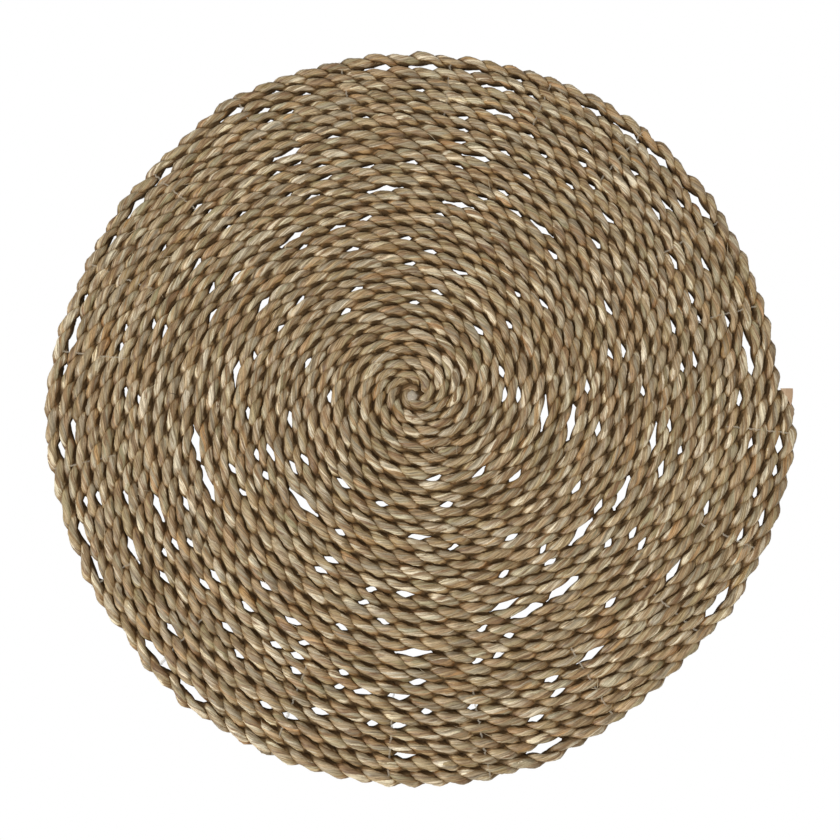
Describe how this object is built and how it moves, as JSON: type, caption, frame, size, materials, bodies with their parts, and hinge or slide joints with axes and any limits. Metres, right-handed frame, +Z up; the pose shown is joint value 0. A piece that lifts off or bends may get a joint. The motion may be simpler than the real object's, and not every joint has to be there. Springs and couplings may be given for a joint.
{
  "type": "seagrass placemat",
  "caption": "Flat round table mat of one two-strand plant-fibre rope coiled from the centre, its turns lying side by side with narrow slits between them.",
  "frame": {"origin": "centre of the coil on the underside, where the mat rests", "axes": "+Z up through the mat's thickness, +X towards the cut end of the rope, +Y at right angles to it; the coil grows anticlockwise seen from above"},
  "size_m": [0.3836, 0.3803, 0.0078],
  "materials": {
    "seagrass": "matt twisted plant fibre, straw with olive and reddish-brown lengths"
  },
  "bodies": {
    "root": {"coiled_mat": "seagrass"}
  },
  "joints": []
}
